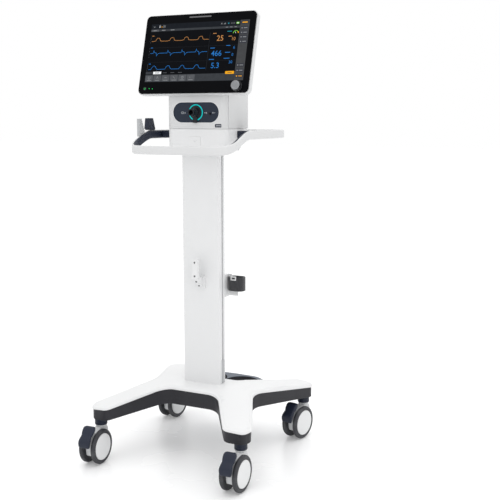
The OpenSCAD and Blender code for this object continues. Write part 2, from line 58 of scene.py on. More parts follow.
BRACE_ANGLE, BRACE_SCREWS = math.radians(41.4), ((12, 568), (31, 584.5))
STRAP_X, STRAP_Z, STRAP_H = 90.5, 565.5, 47
HANDLE_X, HANDLE_FRONT, HANDLE_REAR, BAR_Z, ARM_Z, BAND_H = 188.0, -161.0, 282.0, 1031.0, 1077.0, 28.0
LINER_END = 190.5
DOCK_Z, LATCH_X = 1012.0, -4.5
UNIT_Y, UNIT_BACK, UNIT_TOP, PORT_Z = -19.7, 147.0, 1198.0, 1134.0
INLET_X, INLET_Z, GAS_X = 42.0, 1117.0, (("left", -52), ("right", -18))
TILT, GLASS_Y, GLASS_Z, GLASS_FACE = math.radians(15.2), -13.7, 1319.5, 1.8
KNOB_U, KNOB_V, KNOB_FOOT, FLUTE = 159.5, -110.0, 2.2, 0.28
BUTTON_U, BUTTON_V = -173.6, -114.0


# ------------------------------------------------------------------ materials

class Nodes:
    """A short way to write a node tree."""

    def __init__(self, name):
        self.mat = bpy.data.materials.new(name)
        self.mat.use_nodes = True
        self.tree = self.mat.node_tree
        self.shader = self.tree.nodes["Principled BSDF"]
        self.coord = self.tree.nodes.new("ShaderNodeTexCoord").outputs["Object"]

    def put(self, socket, value):
        if isinstance(value, bpy.types.NodeSocket):
            self.tree.links.new(value, socket)
        else:
            socket.default_value = value

    def add(self, kind, inputs=(), out=0, **attributes):
        node = self.tree.nodes.new(kind)
        for key, value in attributes.items():
            setattr(node, key, value)
        for key, value in dict(inputs).items():
            self.put(node.inputs[key], value)
        return node.outputs[out]

    def stretch(self, scale):
        return self.add("ShaderNodeMapping", {0: self.coord, 3: scale})

    def noise(self, scale, detail=3.0, vector=None):
        inputs = {"Vector": vector or self.coord, "Scale": scale, "Detail": detail}
        return self.add("ShaderNodeTexNoise", inputs)

    def span(self, value, low, high, start=0.3, stop=0.7):
        return self.add("ShaderNodeMapRange", {0: value, 1: start, 2: stop, 3: low, 4: high})

    def mix(self, factor, a, b):
        node = self.tree.nodes.new("ShaderNodeMix")
        node.data_type = "RGBA"
        self.put(node.inputs[0], factor)
        self.put(node.inputs[6], a)
        self.put(node.inputs[7], b)
        return node.outputs[2]

    def maths(self, operation, a, b):
        return self.add("ShaderNodeMath", {0: a, 1: b}, operation=operation)

    def bump(self, height, distance, strength=1.0):
        normal = self.add("ShaderNodeBump", {"Height": height, "Distance": distance, "Strength": strength})
        self.put(self.shader.inputs["Normal"], normal)

    def set(self, **values):
        for key, value in values.items():
            self.put(self.shader.inputs[key.replace("_", " ")], value)


def rgba(colour, gain=1.0):
    return (colour[0] * gain, colour[1] * gain, colour[2] * gain, 1.0)


def moulded(name, colour, rough, grain=1500, depth=0.00004, vary=0.04, coat=0.0, speckle=0.0, spec=0.5):
    """Moulded plastic or paint: a fine surface texture, faint cloudy colour and handling marks."""
    n = Nodes(name)
    cloud = n.noise(6.0, 4.0)
    fine = n.noise(grain, 2.0)
    tone = n.mix(n.span(cloud, 0.0, 1.0), rgba(colour, 1 - vary), rgba(colour, 1 + vary * 0.4))
    if speckle:
        dots = n.add("ShaderNodeTexVoronoi", {"Vector": n.coord, "Scale": grain * 0.6})
        tone = n.mix(n.span(dots, speckle, 0.0, 0.05, 0.35), tone, rgba(colour, 1.9))
    scuff = n.noise(22.0, 6.0, n.stretch((1.0, 1.0, 0.25)))
    gloss = n.maths("ADD", n.span(cloud, rough - 0.04, rough + 0.04), n.span(scuff, 0.0, 0.10, 0.55, 0.75))
    n.set(Base_Color=tone, Roughness=gloss, Coat_Weight=coat, Coat_Roughness=0.25, Specular_IOR_Level=spec)
    n.bump(fine, depth)
    return n.mat


def brushed(name, colour, rough, scale=(40.0, 40.0, 2500.0)):
    """Metal with fine machining lines."""
    n = Nodes(name)
    lines = n.noise(1.0, 4.0, n.stretch(scale))
    cloud = n.noise(60.0, 3.0)
    n.set(Base_Color=n.mix(n.span(lines, 0.0, 1.0), rgba(colour, 0.78), rgba(colour, 1.1)), Metallic=1.0,
          Roughness=n.maths("ADD", n.span(lines, rough - 0.05, rough + 0.08), n.span(cloud, -0.03, 0.05)))
    n.bump(lines, 0.00002, 0.6)
    return n.mat


def woven(name, colour):
    """Webbing: a tight plain weave with slightly fuzzy threads."""
    n = Nodes(name)

    def threads(scale, direction):
        inputs = {"Vector": n.coord, "Scale": scale, "Distortion": 0.6}
        return n.add("ShaderNodeTexWave", inputs, 1, bands_direction=direction)

    weave = n.maths("MULTIPLY", threads(260.0, "Z"), threads(200.0, "DIAGONAL"))
    fuzz = n.noise(900.0, 3.0)
    tone = n.mix(weave, rgba(colour, 0.6), rgba(colour, 1.7))
    n.set(Base_Color=n.mix(n.span(fuzz, 0.0, 0.35), tone, rgba(colour, 2.2)),
          Roughness=n.span(weave, 0.95, 0.8), Sheen_Weight=0.3, Sheen_Roughness=0.5)
    n.bump(n.maths("ADD", weave, n.span(fuzz, 0.0, 0.4)), 0.0003)
    return n.mat


def rubber(name, colour):
    """Tyre rubber: matt, with worn paler dust and fine moulding lines."""
    n = Nodes(name)
    dust = n.noise(35.0, 6.0)
    fine = n.noise(700.0, 3.0)
    n.set(Base_Color=n.mix(n.span(dust, 0.0, 0.55, 0.45, 0.8), rgba(colour), rgba((0.15, 0.15, 0.155))),
          Roughness=n.span(dust, 0.48, 0.72))
    n.bump(fine, 0.00006)
    return n.mat


def glowing(name, colour, strength, gloss=0.12):
    """Something lit from inside, behind a smooth skin: slightly uneven light."""
    n = Nodes(name)
    uneven = n.noise(90.0, 2.0)
    n.set(Base_Color=rgba(colour, 0.12), Roughness=n.span(n.noise(30.0, 4.0), gloss, gloss + 0.08),
          Emission_Color=n.mix(n.span(uneven, 0.0, 1.0), rgba(colour, 0.9), rgba(colour, 1.08)),
          Emission_Strength=strength, Specular_IOR_Level=0.03)
    return n.mat


def glassy(name, colour):
    """Dark cover glass with faint wiped smears in its gloss."""
    n = Nodes(name)
    smear = n.noise(3.0, 6.0, n.stretch((2.0, 2.0, 9.0)))
    n.set(Base_Color=n.mix(n.span(smear, 0.0, 1.0), rgba(colour, 0.8), rgba(colour, 1.2)),
          Roughness=n.span(smear, 0.07, 0.14), Specular_IOR_Level=0.03)
    n.bump(n.noise(15.0, 2.0), 0.00002, 0.3)
    return n.mat


M = {
    "white_paint": moulded("white_paint", (0.74, 0.745, 0.75), 0.38, 420, 0.00006, 0.02, 0.15),
    "white_plastic": moulded("white_plastic", (0.66, 0.664, 0.668), 0.42, 1800, 0.00003, 0.02),
    # Painted light: a brighter copy of white_plastic, for the base cover and the dock, standing in for the
    # extra light they catch.
    "lit_white_plastic": moulded("lit_white_plastic", (0.77, 0.774, 0.778), 0.42, 1800, 0.00003, 0.02),
    "unit_white": moulded("unit_white", (0.66, 0.664, 0.668), 0.42, 1800, 0.00003, 0.02),
    "white_cap": moulded("white_cap", (0.74, 0.745, 0.75), 0.30, 900, 0.00002, 0.03, 0.2),
    "charcoal": moulded("charcoal", (0.022, 0.022, 0.027), 0.50, 1300, 0.00008, 0.15, 0.0, 0.25, 0.3),
    "navy": moulded("navy", (0.014, 0.019, 0.036), 0.42, 1300, 0.00006, 0.15, 0.0, 0.15, 0.3),
    "panel_navy": moulded("panel_navy", (0.016, 0.024, 0.042), 0.34, 1500, 0.00003, 0.08, 0.1, 0.0, 0.2),
    "tray_grey": moulded("tray_grey", (0.070, 0.088, 0.120), 0.45, 1100, 0.00008, 0.10, 0.0, 0.2),
    "fork_grey": moulded("fork_grey", (0.62, 0.63, 0.64), 0.30, 900, 0.00003, 0.04, 0.3),
    "tread": rubber("tread", (0.026, 0.027, 0.033)),
    "light_grey": moulded("light_grey", (0.45, 0.46, 0.47), 0.42, 1300, 0.00004, 0.05),
    "cast_grey": moulded("cast_grey", (0.46, 0.48, 0.50), 0.40, 600, 0.00010, 0.05, 0.1),
    "steel": brushed("steel", (0.50, 0.51, 0.52), 0.30),
    "dark_steel": brushed("dark_steel", (0.16, 0.16, 0.165), 0.35, (600.0, 600.0, 600.0)),
    "strap": woven("strap", (0.030, 0.030, 0.034)),
    "ring_light": glowing("ring_light", (0.012, 0.50, 0.50), 1.05, 0.2),
    "port_black": moulded("port_black", (0.008, 0.010, 0.015), 0.30, 900, 0.00004, 0.2, 0.1, 0.0, 0.25),
    "screen": glassy("screen", (0.0030, 0.0032, 0.0040)),
    "knob_metal": brushed("knob_metal", (0.29, 0.30, 0.31), 0.34, (900.0, 30.0, 900.0)),
    "lens": moulded("lens", (0.10, 0.10, 0.105), 0.15, 500, 0.00002, 0.1, 0.5),
}
SLOT_OF = {part["node"]: part["material_slot"] for part in frame["record"]["subparts"]}
BODY_OF = {node: body for body, nodes in frame["record"]["behaviour"]["bodies"].items() for node in nodes}
for node, cad in frame["nodes"].items():
    cad.data.materials.clear()
    cad.data.materials.append(M[SLOT_OF[node]])


# ------------------------------------------------------------------ mesh tools

def corner(a, b, c, step):
    """The arc that rounds corner b, whose third number is its radius."""
    b2 = Vector(b[:2])
    u = (Vector(a[:2]) - b2).normalized()
    w = (Vector(c[:2]) - b2).normalized()
    half = math.acos(max(-1.0, min(1.0, u.dot(w)))) / 2
    centre = b2 + (u + w).normalized() * b[2] / math.sin(half)
    start, end = b2 + u * b[2] / math.tan(half), b2 + w * b[2] / math.tan(half)
    a0 = math.atan2(*(start - centre).yx)
    turn = (math.atan2(*(end - centre).yx) - a0 + 3 * math.pi) % (2 * math.pi) - math.pi
    n = max(4, math.ceil(abs(math.degrees(turn)) / step))
    angles = [a0 + turn * i / n for i in range(n + 1)]
    return [centre + b[2] * Vector((math.cos(t), math.sin(t))) for t in angles]


def rounded(points, step=6.0):
    out = []
    for i, b in enumerate(points):
        out += corner(points[i - 1], b, points[(i + 1) % len(points)], step)
    return out


def mirrored(half):
    return half + [(-x, y, r) for x, y, r in reversed(half)]


def rect(w, h, r, x=0.0, y=0.0, step=6.0):
    a, b = w / 2, h / 2
    return rounded([(x - a, y - b, r), (x + a, y - b, r), (x + a, y + b, r), (x - a, y + b, r)], step)


def normals_of(loop):
    """Outward normals of a closed counter-clockwise outline."""
    out = []
    for i, p in enumerate(loop):
        d = (loop[(i + 1) % len(loop)] - p).normalized() + (p - loop[i - 1]).normalized()
        out.append(Vector((d.y, -d.x)).normalized())
    return out


def smooth(mesh, angle=38.0):
    mesh.shade_smooth()
    mesh.set_sharp_from_angle(angle=math.radians(angle))


def bake(obj):
    """Applies the modifiers to the object's own mesh."""
    graph = bpy.context.evaluated_depsgraph_get()
    mesh = bpy.data.meshes.new_from_object(obj.evaluated_get(graph))
    obj.modifiers.clear()
    old, obj.data = obj.data, mesh
    bpy.data.meshes.remove(old)


def make(name, bm, material, body, bevel=0.0, segments=3, limit=30.0, stands_for=(), slot=None,
         scale=MM, angle=38.0):
    """Turns a bmesh, in millimetres, into a finished piece that rides on a body."""
    bmesh.ops.recalc_face_normals(bm, faces=bm.faces)
    mesh = bpy.data.meshes.new(name)
    bm.to_mesh(mesh)
    bm.free()
    mesh.transform(Matrix.Scale(scale, 4))
    obj = bpy.data.objects.new(name, mesh)
    bpy.context.scene.collection.objects.link(obj)
    if bevel:
        m = obj.modifiers.new("bevel", "BEVEL")
        m.width, m.segments = bevel * MM, segments
        m.limit_method, m.angle_limit = "ANGLE", math.radians(limit)
        m.miter_outer, m.use_clamp_overlap = "MITER_ARC", True
    smooth(mesh, 60.0 if bevel else angle)
    if bevel:
        w = obj.modifiers.new("normals", "WEIGHTED_NORMAL")
        w.keep_sharp, w.weight = True, 60
        bpy.context.view_layer.update()
        bake(obj)
    obj.data.materials.append(M[material] if isinstance(material, str) else material)
    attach(obj, body)
    if stands_for:
        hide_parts(*stands_for)
    return obj


def add_prism(bm, outline, place, low, high):
    """Grows an outline (a, b) from low to high, with place(a, b, c) giving each point."""
    bottom = [bm.verts.new(place(p[0], p[1], low)) for p in outline]
    top = [bm.verts.new(place(p[0], p[1], high)) for p in outline]
    bm.faces.new(bottom)
    bm.faces.new(list(reversed(top)))
    for i in range(len(outline)):
        j = (i + 1) % len(outline)
        bm.faces.new((bottom[i], bottom[j], top[j], top[i]))


def up(a, b, c):
    return (a, b, c)


def front(a, b, c):
    """Outline (x, z), grown along y."""
    return (a, c, b)


def prism(name, outline, place, low, high, material, body, **options):
    bm = bmesh.new()
    add_prism(bm, outline, place, low, high)
    return make(name, bm, material, body, **options)


def add_lathe(bm, profile, place, steps=96, closed=False):
    """Turns a profile (radius, height) about the height axis. place maps (x, y, height)."""
    rings = []
    turns = [2 * math.pi * k / steps for k in range(steps)]
    for r, h in profile:
        if r < 1e-6:
            rings.append([bm.verts.new(place(0.0, 0.0, h))])
        else:
            rings.append([bm.verts.new(place(r * math.cos(t), r * math.sin(t), h)) for t in turns])
    pairs = list(zip(rings, rings[1:] + rings[:1])) if closed else list(zip(rings, rings[1:]))
    for a, b in pairs:
        for k in range(steps):
            j = (k + 1) % steps
            if len(a) == 1 and len(b) == 1:
                break
            if len(a) == 1:
                bm.faces.new((a[0], b[j], b[k]))
            elif len(b) == 1:
                bm.faces.new((a[k], a[j], b[0]))
            else:
                bm.faces.new((a[k], a[j], b[j], b[k]))


def lathe(name, profile, place, material, body, steps=96, closed=False, **options):
    bm = bmesh.new()
    add_lathe(bm, profile, place, steps, closed)
    return make(name, bm, material, body, **options)


def soften(points, radius, step=15.0):
    """Rounds the inner corners of an open profile."""
    out = [Vector(points[0][:2])]
    for i in range(1, len(points) - 1):
        a, b, c = (Vector(p[:2]) for p in points[i - 1:i + 2])
        r = points[i][2] if len(points[i]) > 2 else radius
        if r < 0.01 or (a - b).length < 1e-6 or (c - b).length < 1e-6:
            out.append(b)
            continue
        half = math.acos(max(-1.0, min(1.0, (a - b).normalized().dot((c - b).normalized())))) / 2
        if half > math.radians(88):
            out.append(b)
            continue
        reach = min((a - b).length, (c - b).length) * 0.48
        r = min(r, reach * math.tan(half))
        out += corner(a, (b.x, b.y, r), c, step)
    out.append(Vector(points[-1][:2]))
    return [(p.x, p.y) for p in out]


def rounded_copy(node, bevel, segments=3, limit=32.0, material=None, merge=True):
    """The CAD node's own shape with its sharp edges rounded off, as a moulded part has them."""
    source = frame["nodes"][node].data
    bm = bmesh.new()
    bm.from_mesh(source)
    bmesh.ops.remove_doubles(bm, verts=bm.verts, dist=2e-6)
    if merge:
        bmesh.ops.dissolve_limit(bm, angle_limit=math.radians(0.8), verts=bm.verts, edges=bm.edges)
    return make(node + "_shape", bm, material or SLOT_OF[node], BODY_OF[node], slot=SLOT_OF[node],
                bevel=bevel, segments=segments, limit=limit, stands_for=[node], scale=1.0)


# ------------------------------------------------------------------ base

def base_half(g):
    """The base's outline on the right side, inset by g, as (x, y, corner radius)."""
    return [(102 - g, -74 + g, 60), (212 + g, -STEM_FRONT - 33 + g, 24), (278 - g, -STEM_FRONT - 24 + g, 24),
            (290 - g * 1.2, -STEM_FRONT + 10, 24), (187 - g, 14, 90), (293 - g * 1.2, STEM_REAR - 6, 26),
            (278 - g, STEM_REAR + 29 - g, 26), (226 + g, STEM_REAR + 27 - g, 22), (104 + g, 80 - g, 34)]


def away(x, y):
    """Distance outside the flat middle of the base, eased in at its edge."""
    d, blend = math.hypot(x, y - SLOPE_Y) - SLOPE_R, 18.0
    return 0.0 if d <= -blend else (d + blend) ** 2 / (4 * blend) if d < blend else d


def fall(x, y):
    """Height of the cover's top."""
    return BASE_TOP - BASE_SLOPE * away(x, y)


def under(x, y):
    """Height of the chassis's underside."""
    return CHASSIS_Z - CHASSIS_SLOPE * away(x, y)


def shell_of_rings(outline, profile, caps):
    """A sloping slab: each profile row is (inset, height, base height function), caps fill its ends."""
    bm = bmesh.new()
    outward = normals_of(outline)
    loops = []
    for inset, height, level in profile:
        flat = [p - n * inset for p, n in zip(outline, outward)]
        loops.append([bm.verts.new((p.x, p.y, level(p.x, p.y) + height)) for p in flat])
    for a, b in zip(loops, loops[1:]):
        for i in range(len(a)):
            j = (i + 1) % len(a)
            bm.faces.new((a[i], a[j], b[j], b[i]))
    for which in caps:
        _, height, level = profile[which]
        ring = [Vector((v.co.x, v.co.y)) for v in loops[which]]
        grid = [Vector((x * 14.0, y * 14.0)) for x in range(-22, 23) for y in range(-20, 24)]
        grid = [g for g in grid if inside(g, ring)]
        count = len(ring)
        edges = [(i, (i + 1) % count) for i in range(count)]
        verts, _, faces, origin, _, _ = delaunay_2d_cdt(ring + grid, edges, [], 1, 1e-5)
        new = []
        for v, came in zip(verts, origin):
            at = min(came) if len(came) else -1
            if 0 <= at < count:
                new.append(loops[which][at])
            else:
                new.append(bm.verts.new((v.x, v.y, level(v.x, v.y) + height)))
        for f in faces:
            if len({id(new[i]) for i in f}) == len(f):
                bm.faces.new([new[i] for i in f])
    return bm


def inside(p, ring, clear=7.0):
    """Whether p is in the outline, and not too near its edge."""
    hit = False
    for i, b in enumerate(ring):
        a = ring[i - 1]
        if (a.y > p.y) != (b.y > p.y) and p.x < (b.x - a.x) * (p.y - a.y) / (b.y - a.y) + a.x:
            hit = not hit
        if (p - b).length < clear:
            return False
    return hit


# Rows run from the cover's underside, up round its lip, over a shallow groove to the top.
cover_edge = [(inset, height, fall) for inset, height in (
    (1.0, -9.0), (0.25, -8.7), (0.0, -8.0), (0.0, -4.4), (0.3, -2.7), (1.2, -1.25), (2.6, -0.35), (4.4, 0.0),
    (6.4, 0.0), (6.8, -0.45), (7.6, -0.45), (8.0, 0.0))]
bm = shell_of_rings(rounded(mirrored(base_half(0)), 4.0), cover_edge, [0, -1])
# The cover uses the brighter copy of the white plastic: painted light.
make("base_cover_shape", bm, "lit_white_plastic", "stand", stands_for=["base_cover"], slot="white_plastic", angle=50)

band_edge = [(3.0, -COVER_T + 0.4, fall), (0.0, -COVER_T, fall), (0.0, -COVER_T - 2.0, fall),
             (0.35, -COVER_T - 2.6, fall), (0.35, 3.4, under), (0.9, 1.4, under), (2.2, 0.3, under),
             (3.8, 0.0, under)]
bm = shell_of_rings(rounded(mirrored(base_half(2.5)), 4.0), band_edge, [0, -1])
boss = soften([(9.5, 140), (23, 140, 2), (24, 162), (9.5, 162)], 1.0)
for stem_x, stem_y, _ in SWIVELS.values():
    add_lathe(bm, boss, lambda x, y, h: (stem_x + x, stem_y + y, h), 48)
# A stiffening rib under each leg.
RIB_HALF, RIB_DEPTH = 2.0, 5.0
for s in (-1, 1):
    for a, b in (((80, -20), (236, -196)), ((90, 60), (236, 262))):
        a, b = Vector(a), Vector(b)
        d = (b - a).normalized()
        n = Vector((-d.y, d.x)) * RIB_HALF
        rib = []
        for p in (a, b):
            z = under(p.x, p.y)
            rib.append([bm.verts.new((s * (p.x + k * n.x), p.y + k * n.y, z + h)) for k, h in
                        ((-1, 1.0), (1, 1.0), (1, -RIB_DEPTH), (-1, -RIB_DEPTH))])
        bm.faces.new(rib[0])
        bm.faces.new(list(reversed(rib[1])))
        for i in range(4):
            j = (i + 1) % 4
            bm.faces.new((rib[0][i], rib[0][j], rib[1][j], rib[1][i]))
make("base_chassis_shape", bm, "charcoal", "stand", stands_for=["base_chassis"], angle=50)
rounded_copy("cylinder_tray", 2.2, 4)
rounded_copy("caster_collars", 0.5, 2, 40)


# ------------------------------------------------------------------ casters

def at_caster(key):
    x0, y0, degrees = SWIVELS[key]
    c, s = math.cos(math.radians(degrees)), math.sin(math.radians(degrees))
    return lambda x, y, z: (x0 + x * c - y * s, y0 + x * s + y * c, z)


def through(values, share):
    """A smooth curve through evenly spaced values, at share 0 to 1."""
    k = min(int(share * (len(values) - 1)), len(values) - 2)
    t = share * (len(values) - 1) - k
    a, b, c, d = values[max(k - 1, 0)], values[k], values[k + 1], values[min(k + 2, len(values) - 1)]
    square, cube = 2 * a - 5 * b + 4 * c - d, 3 * b - a - 3 * c + d
    return 0.5 * (2 * b + (c - a) * t + square * t * t + cube * t ** 3)


def add_loft(bm, rows, place, steps=44, around=36):
    """A plate with full round edges, through rows of (outer point, inner point, half width)."""
    rings = []
    for i in range(steps + 1):
        share = i / steps
        oy, oz = (through([r[0][k] for r in rows], share) for k in (0, 1))
        iy, iz = (through([r[1][k] for r in rows], share) for k in (0, 1))
        wide = through([r[2] for r in rows], share)
        end = min(share, 1 - share) * steps / 3.0
        squeeze = 1.0 if end >= 1 else math.sqrt(1 - (1 - end) ** 2) * 0.55 + 0.45
        cy, cz, hy, hz = (oy + iy) / 2, (oz + iz) / 2, (oy - iy) / 2 * squeeze, (oz - iz) / 2 * squeeze
        ring = []
        for k in range(around):
            angle = 2 * math.pi * k / around
            c, s = math.cos(angle), math.sin(angle)
            x = math.copysign(abs(c) ** 0.42, c) * (wide - 2.5 * (1 - squeeze))
            d = math.copysign(abs(s) ** 0.55, s)
            ring.append(bm.verts.new(place(x, cy + hy * d, cz + hz * d)))
        rings.append(ring)
    for a, b in zip(rings, rings[1:]):
        for k in range(around):
            bm.faces.new((a[k], a[(k + 1) % around], b[(k + 1) % around], b[k]))
    bm.faces.new(rings[0])
    bm.faces.new(list(reversed(rings[-1])))


# A plain plate: the slot that the CAD's fork has for the pedal's arm is not cut here.
FORK_SIDE = [(-TRAIL - 40, WHEEL_R + 4, 15), (-TRAIL - 36, WHEEL_R - 24, 13), (-TRAIL - 8, 20, 16),
             (-TRAIL + 20, 24, 16), (-TRAIL + 41, WHEEL_R - 6, 16), (22, 96, 10), (18, 110, 6),
             (-20, 114, 8), (-TRAIL - 20, 105, 16)]
# Rows of the pedal from its top: outer (y, z), inner (y, z), half width.
PEDAL_ROWS = [((-22.5, 72.0), (-22.5, 64.5), 15.0), ((-29, 74.8), (-28, 58.9), 19.5),
              ((-38, 73.0), (-36, 53.6), 21.0), ((-47, 62.5), (-43, 48.2), 20.4),
              ((-53.5, 53.0), (-49, 41.8), 18.4), ((-61.0, 45.5), (-53.5, 35.5), 20.0),
              ((-68.5, 37.0), (-57.5, 28.0), 21.0), ((-71.0, 26.0), (-60.2, 20.5), 20.8),
              ((-70.3, 13.5), (-61.8, 12.6), 18.2)]
ARM_SIDE = [(-30, 66, 3), (-40, 54.5, 3), (-14, 34, 4), (-3, 36, 4), (-3, 48, 4), (-14, 52, 6)]
for key in SWIVELS:
    at = at_caster(key)
    bm = bmesh.new()
    add_prism(bm, rounded(FORK_SIDE), lambda a, b, c: at(c, a, b), -WHEEL_GAP / 2 + 1, WHEEL_GAP / 2 - 1)
    fork = "fork_" + key
    make(fork + "_shape", bm, "fork_grey", fork, bevel=2.4, segments=4, stands_for=[fork])
    bm = bmesh.new()
    add_lathe(bm, soften([(0, 94), (13.0, 94), (13.4, 97), (13.4, 111.5, 2), (18.6, 115.5, 1),
                          (18.6, 118.4, 0.6), (18.0, 119.1), (6.6, 119.2)], 1.0), at, 64)
    make(fork + "_head", bm, "fork_grey", fork)
    bm = bmesh.new()
    add_lathe(bm, soften([(0, -26.8), (5.6, -26.8), (6, -26.4), (6, 26.4), (5.6, 26.8), (0, 26.8)], 0.2),
              lambda x, y, h: at(h, -TRAIL + x, WHEEL_R + y), 32)
    make(f"axle_{key}", bm, "steel", "fork_" + key)
    bm = bmesh.new()
    add_loft(bm, PEDAL_ROWS, lambda a, b, c: at(a, -TRAIL + b, WHEEL_R + c))
    make(f"pedal_{key}_shape", bm, "navy", "pedal_" + key, stands_for=["pedal_" + key], angle=60)
    bm = bmesh.new()
    add_prism(bm, rounded(ARM_SIDE, 12.0), lambda a, b, c: at(c, -TRAIL + a, WHEEL_R + b), -4.5, 4.5)
    make(f"pedal_{key}_arm", bm, "navy", "pedal_" + key, bevel=0.8, segments=2)
    for hand, s in (("left", -1), ("right", 1)):
        body = f"wheel_{key}_{hand}"
        inner, outer = WHEEL_GAP / 2, CASTER_W / 2 - 2.5
        turned = lambda x, y, h, s=s: at(s * h, -TRAIL + x, WHEEL_R + y)
        tyre = soften([(6.2, inner), (40, inner, 2), (42, inner + 1.2, 1), (WHEEL_R - 5, inner, 3),
                       (WHEEL_R, inner + 3.5, 5), (WHEEL_R, outer - 3.5, 5), (WHEEL_R - 5, outer, 3),
                       (CAP_R + 1.4, outer + 0.1, 1.0), (CAP_R + 0.5, outer - 1.6, 0.4),
                       (CAP_R + 0.5, outer - 5), (6.2, outer - 5)], 1.5)
        lathe(body + "_shape", tyre, turned, "tread", body, 128, stands_for=[body])
        dome = [(0, outer + 2.5), (10, outer + 2.48), (20, outer + 2.3), (29, outer + 1.9), (36, outer + 1.3),
                (40.2, outer + 0.75), (42, outer + 0.4), (42.9, outer - 0.2), (43.3, outer - 1.0),
                (43.3, outer - 4.9)]
        cap = f"cap_{key}_{hand}"
        lathe(cap + "_shape", dome, turned, "white_cap", body, 128, stands_for=[cap])


# ------------------------------------------------------------------ column

half_w, slot_y = COL_W / 2, COL_Y + COL_D / 2
face, back = COL_Y, COL_Y + COL_D


def column_side(s):
    """The right side's outline with its T-slot, from front to back; s flips it."""
    h = SLOT_W / 2
    neck, floor, head = half_w - 6, half_w - 12, 10
    rows = [(half_w, slot_y - h), (neck, slot_y - h), (neck, slot_y - head), (floor, slot_y - head),
            (floor, slot_y + head), (neck, slot_y + head), (neck, slot_y + h), (half_w, slot_y + h)]
    return [Vector((s * x, y)) for x, y in rows]


outline = corner((-half_w, face), (half_w, face, 3), (half_w, back), 10) + column_side(1) \
    + corner((half_w, face), (half_w, back, 16), (-half_w, back), 6) \
    + corner((half_w, back), (-half_w, back, 16), (-half_w, face), 6) + list(reversed(column_side(-1))) \
    + corner((-half_w, back), (-half_w, face, 3), (half_w, face), 10)
prism("column_shape", outline, up, BASE_TOP - 0.3, DOCK_Z + 0.2, "white_paint", "stand", bevel=0.5,
      segments=2, limit=40, stands_for=["column"])
for node, width in (("slot_covers", 0.4), ("bracket_block", 1.3), ("bracket_post", 1.6),
                    ("strap_bracket", 1.5), ("strap_buckle", 0.6)):
    rounded_copy(node, width)


def band_loop(name, path, outward, profile, material, body, top=lambda p: 0.0, closed=True, **options):
    """Sweeps a closed profile (outward, height) along a flat path."""
    bm = bmesh.new()
    rings = [[bm.verts.new((p.x + n.x * q[0], p.y + n.y * q[0], top(p) + q[1])) for q in profile]
             for p, n in zip(path, outward)]
    for a, b in zip(rings, rings[1:] + (rings[:1] if closed else [])):
        for k in range(len(profile)):
            j = (k + 1) % len(profile)
            bm.faces.new((a[k], a[j], b[j], b[k]))
    if not closed:
        bm.faces.new(rings[0])
        bm.faces.new(list(reversed(rings[-1])))
    return make(name, bm, material, body, **options)


def along(origin, out):
    """Places (x, y, height) with the height growing outwards from origin."""
    origin, out = Vector(origin), Vector(out).normalized()
    u = out.orthogonal().normalized()
    v = out.cross(u)
    return lambda x, y, h: origin + u * x + v * y + out * h


def screws(name, places, material, radius, stands_for=()):
    """Socket screw heads, each at (origin, outward direction)."""
    bm = bmesh.new()
    head = soften([(0, 0.35), (radius * 0.5, 0.35, 0.05), (radius * 0.52, 1.1, 0.1),
                   (radius * 0.8, 1.25, 0.3), (radius, 0.7, 0.3), (radius, -0.8)], 0.1)
    for origin, out in places:
        add_lathe(bm, head, along(origin, out), 30)
    make(name, bm, material, "stand", slot="steel", stands_for=stands_for)


ahead_of_column = (0, -1, 0)
down_back = Vector((0, -math.sin(BRACE_ANGLE), -math.cos(BRACE_ANGLE)))
screws("bracket_screws", [((0, COL_Y - 42.2, z), ahead_of_column) for z in POST_SCREW_Z]
       + [(Vector((0, COL_Y - y, z)) + down_back * 1.2, down_back) for y, z in BRACE_SCREWS],
       "dark_steel", 2.9, ["small_screws"])
screws("plate_screws", [((x, COL_Y - 8.2, z), ahead_of_column) for x in PLATE_SCREW_X for z in PLATE_SCREW_Z],
       "white_paint", 3.0)
screws("hinge_screws", [((x, y, UNIT_TOP + 8.3), (0, 0, 1)) for x in (-50, 50) for y in (28, 84)], "steel",
       4.4)
strap_path = [Vector((STRAP_X, back + 31)) + p for p in rect(54.7, 36.7, 15.3)]
band_loop("strap_loop", strap_path, normals_of(strap_path), rect(3.3, STRAP_H, 1.2, 0, STRAP_Z, 30), "strap",
          "stand", stands_for=["strap"])


# ------------------------------------------------------------------ handle

def rise(y):
    t = min(1.0, max(0.0, (y + 156) / 160))
    return t * t * (3 - 2 * t)


def dense(points, longest=8.0):
    """Adds points so that no side of the outline is longer than the limit."""
    out = []
    for i, p in enumerate(points):
        q = points[(i + 1) % len(points)]
        n = max(1, math.ceil((q - p).length / longest))
        out += [p.lerp(q, k / n) for k in range(n)]
    return out


def band_top(p):
    return BAR_Z + (ARM_Z - BAR_Z) * rise(p.y)


loop = dense(rounded([(-HANDLE_X, HANDLE_FRONT, 76), (HANDLE_X, HANDLE_FRONT, 76),
                      (HANDLE_X, HANDLE_REAR, 32), (-HANDLE_X, HANDLE_REAR, 32)], 3.0))
loop_out = normals_of(loop)
outer = rounded([(0, 0, 4.2), (-6, 0, 1.0), (-6, -BAND_H, 0.4), (0, -BAND_H, 5.4)], 15.0)
band_loop("handle_band_shape", loop, loop_out, outer, "white_plastic", "stand", top=band_top,
          stands_for=["handle_band"])
start = next(i for i in range(len(loop)) if loop[i].x < 0 and loop[i].y <= LINER_END < loop[i - 1].y)
order = [(start + k) % len(loop) for k in range(len(loop))]
order = [i for i in order if loop[i].y <= LINER_END]
low = 1.6 - BAND_H
liner = rounded([(-6.02, -1.6, 0.4), (-15, -1.6, 3.2), (-15, low, 3.2), (-6.02, low, 0.4)], 15.0)
band_loop("handle_liner_shape", [loop[i] for i in order], [loop_out[i] for i in order], liner, "navy",
          "stand", top=band_top, closed=False, stands_for=["handle_liner"])
rounded_copy("handle_links", 2.5, 4)
rounded_copy("hose_jaw_dark", 0.6, 2)
rounded_copy("hose_jaw_light", 0.5, 2)


# ------------------------------------------------------------------ dock and unit

